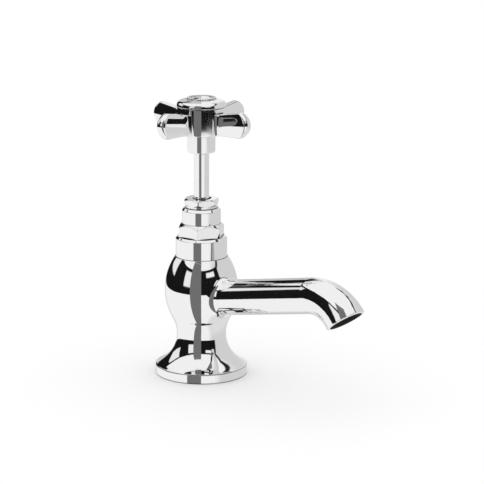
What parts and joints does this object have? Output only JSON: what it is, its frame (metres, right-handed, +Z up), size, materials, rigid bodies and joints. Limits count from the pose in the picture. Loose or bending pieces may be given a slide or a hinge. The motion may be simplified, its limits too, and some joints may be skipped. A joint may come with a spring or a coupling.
{
  "type": "cross handle pillar tap",
  "caption": "Chromed pillar tap with a bulbous body, a long down-turned spout, a bare rising spindle and a cross handle with a beaded index cap.",
  "frame": {"origin": "centre of the foot's underside, on the deck plane, on the axis of the tail and spindle", "axes": "+Z up along the spindle, +X the way the spout points, +Y to the left of the spout seen from behind the tap"},
  "size_m": [0.1439, 0.0668, 0.2076],
  "materials": {
    "chrome": "bright plated",
    "brass": "turned",
    "steel": "bright",
    "rubber": "matt",
    "fibre": "pressed fibre",
    "packing": "greased cord",
    "white_plastic": "moulded"
  },
  "bodies": {
    "fixed_tap": {"body_casting": "chrome", "base_seal": "rubber", "valve_seat": "brass", "inlet_tail": "brass", "tail_seal": "fibre", "deck_washer": "white_plastic", "backnut": "brass", "neck_collar": "chrome", "headwork_washer": "fibre", "headwork_body": "chrome", "packing_washer": "brass", "gland_packing": "packing", "gland_nut": "chrome"},
    "jumper_valve": {"jumper": "brass", "tap_washer": "rubber", "washer_nut": "brass"},
    "spindle_and_handle": {"spindle": "chrome", "handle_sleeve": "chrome", "cross_handle": "chrome", "lock_washer": "steel", "handle_screw": "steel", "index_cap": "chrome", "cap_seal": "rubber", "bead_ring": "chrome", "index_disc": "chrome"}
  },
  "joints": [
    {"name": "jumper_lift", "type": "slide", "parent": "fixed_tap", "child": "jumper_valve", "axis": [0, 0, 1], "range_m": [0, 0.00625]},
    {"name": "spindle_turn", "type": "hinge", "parent": "jumper_valve", "child": "spindle_and_handle", "pos_m": [0, 0, 0], "axis": [0, 0, 1], "range_deg": [0, 900]}
  ],
  "couplings": [
    {"joint": "jumper_lift", "follows": "spindle_turn", "m_per_rad": 0.00039788}
  ]
}
